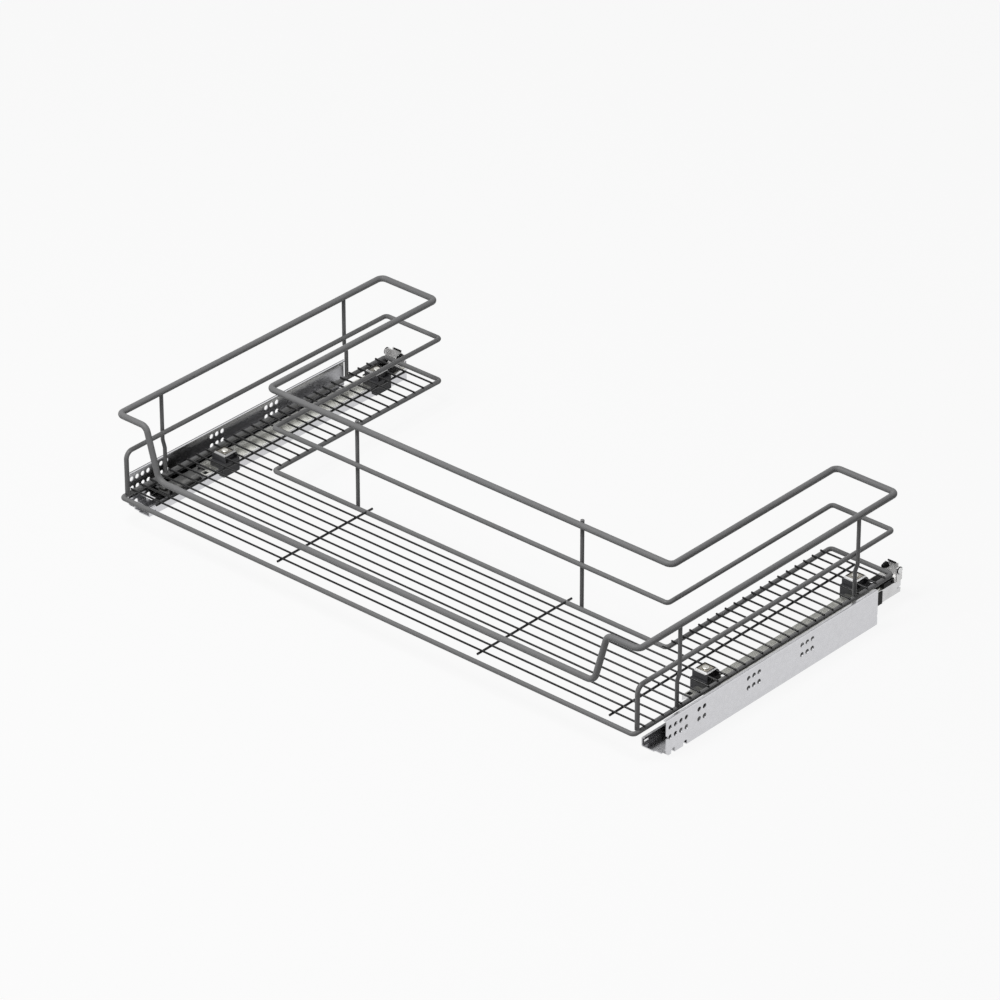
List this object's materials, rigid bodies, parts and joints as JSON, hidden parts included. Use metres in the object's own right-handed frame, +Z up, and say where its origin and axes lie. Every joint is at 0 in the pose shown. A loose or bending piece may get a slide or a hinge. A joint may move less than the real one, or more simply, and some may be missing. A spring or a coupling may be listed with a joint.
{
  "type": "under-sink pull-out drawer",
  "caption": "U-shaped wire basket on a pair of full-extension roller slides, cut out at the back to pass round a sink's waste pipe.",
  "frame": {"origin": "centre of the bounding box at the cabinet rails' underside", "axes": "+X across the cabinet to the right, +Y into the cabinet, +Z up; the basket pulls out along -Y"},
  "size_m": [0.863, 0.503, 0.155],
  "materials": {
    "wire_grey": "satin anthracite powder coat",
    "wire_dark": "satin anthracite powder coat, in shadow",
    "zinc_steel": "galvanised sheet",
    "fitting_steel": "zinc plated",
    "roller_steel": "ground",
    "dark_plastic": "moulded",
    "black_rubber": "matt",
    "cage_plastic": "moulded"
  },
  "bodies": {
    "cabinet_rails": {"cabinet_rail_left": "zinc_steel", "cabinet_rail_right": "zinc_steel", "end_buffers": "black_rubber"},
    "drawer": {"top_rail": "wire_grey", "middle_rail": "wire_grey", "base_frame": "wire_grey", "side_posts": "wire_grey", "cutout_posts": "wire_grey", "floor_wires_front": "wire_dark", "floor_wires_left": "wire_dark", "floor_wires_right": "wire_dark", "support_wires": "wire_dark", "drawer_rail_left": "zinc_steel", "drawer_rail_right": "zinc_steel", "holder_blocks": "dark_plastic", "clamp_plates": "fitting_steel", "clamp_screws": "fitting_steel", "guide_shoes": "dark_plastic", "rear_latches": "dark_plastic", "rear_stop_plates": "fitting_steel", "stop_edge_strips": "black_rubber", "rear_bumpers": "black_rubber", "stop_ear_caps": "fitting_steel"},
    "middle_slide_left": {"middle_slide_left": "zinc_steel"},
    "lower_cage_left": {"lower_cage_left": "cage_plastic", "lower_rollers_left": "roller_steel"},
    "upper_cage_left": {"upper_cage_left": "cage_plastic", "upper_rollers_left": "roller_steel"},
    "middle_slide_right": {"middle_slide_right": "zinc_steel"},
    "lower_cage_right": {"lower_cage_right": "cage_plastic", "lower_rollers_right": "roller_steel"},
    "upper_cage_right": {"upper_cage_right": "cage_plastic", "upper_rollers_right": "roller_steel"}
  },
  "joints": [
    {"name": "drawer_pull", "type": "slide", "parent": "cabinet_rails", "child": "drawer", "axis": [0, -1, 0], "range_m": [0, 0.44]},
    {"name": "middle_run_left", "type": "slide", "parent": "cabinet_rails", "child": "middle_slide_left", "axis": [0, -1, 0], "range_m": [0, 0.22]},
    {"name": "lower_cage_run_left", "type": "slide", "parent": "cabinet_rails", "child": "lower_cage_left", "axis": [0, -1, 0], "range_m": [0, 0.11]},
    {"name": "upper_cage_run_left", "type": "slide", "parent": "middle_slide_left", "child": "upper_cage_left", "axis": [0, -1, 0], "range_m": [0, 0.11]},
    {"name": "middle_run_right", "type": "slide", "parent": "cabinet_rails", "child": "middle_slide_right", "axis": [0, -1, 0], "range_m": [0, 0.22]},
    {"name": "lower_cage_run_right", "type": "slide", "parent": "cabinet_rails", "child": "lower_cage_right", "axis": [0, -1, 0], "range_m": [0, 0.11]},
    {"name": "upper_cage_run_right", "type": "slide", "parent": "middle_slide_right", "child": "upper_cage_right", "axis": [0, -1, 0], "range_m": [0, 0.11]}
  ],
  "couplings": [
    {"joint": "middle_run_left", "follows": "drawer_pull", "ratio": 0.5},
    {"joint": "lower_cage_run_left", "follows": "drawer_pull", "ratio": 0.25},
    {"joint": "upper_cage_run_left", "follows": "drawer_pull", "ratio": 0.25},
    {"joint": "middle_run_right", "follows": "drawer_pull", "ratio": 0.5},
    {"joint": "lower_cage_run_right", "follows": "drawer_pull", "ratio": 0.25},
    {"joint": "upper_cage_run_right", "follows": "drawer_pull", "ratio": 0.25}
  ]
}
